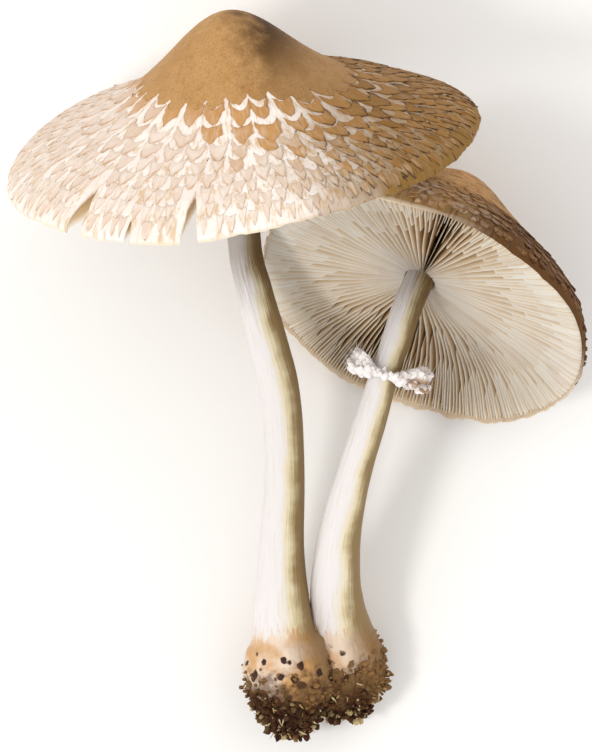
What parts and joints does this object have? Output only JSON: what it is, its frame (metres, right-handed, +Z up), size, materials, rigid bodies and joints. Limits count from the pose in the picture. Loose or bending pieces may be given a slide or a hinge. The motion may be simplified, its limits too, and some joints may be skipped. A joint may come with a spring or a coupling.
{
  "type": "pair of parasol mushrooms",
  "caption": "Picked pair of scaly-capped parasol mushrooms grown together at their bulbs, lying on cap rims and bulb, with gills, a torn ring and soil.",
  "frame": {"origin": "on the surface that the pair lies on, under the middle of its bounding box", "axes": "+Z up from the surface, +Y from the bulbs towards the large cap, +X from the large mushroom towards the small one"},
  "size_m": [0.1328, 0.168, 0.1034],
  "materials": {
    "cap_skin": "dry felty brown skin broken into tan scales over cream flesh",
    "gills": "matt cream blades with tan shade between them",
    "stem": "silky white fibres, buff to olive-brown on one side, ochre at the bulb",
    "ring": "white cottony torn membrane with a brown lower edge",
    "soil": "dark crumbly soil with pale threads"
  },
  "bodies": {
    "root": {"large_cap": "cap_skin", "small_cap": "cap_skin", "large_gills": "gills", "small_gills": "gills", "joined_stems": "stem", "small_ring": "ring", "soil_crust": "soil"}
  },
  "joints": []
}
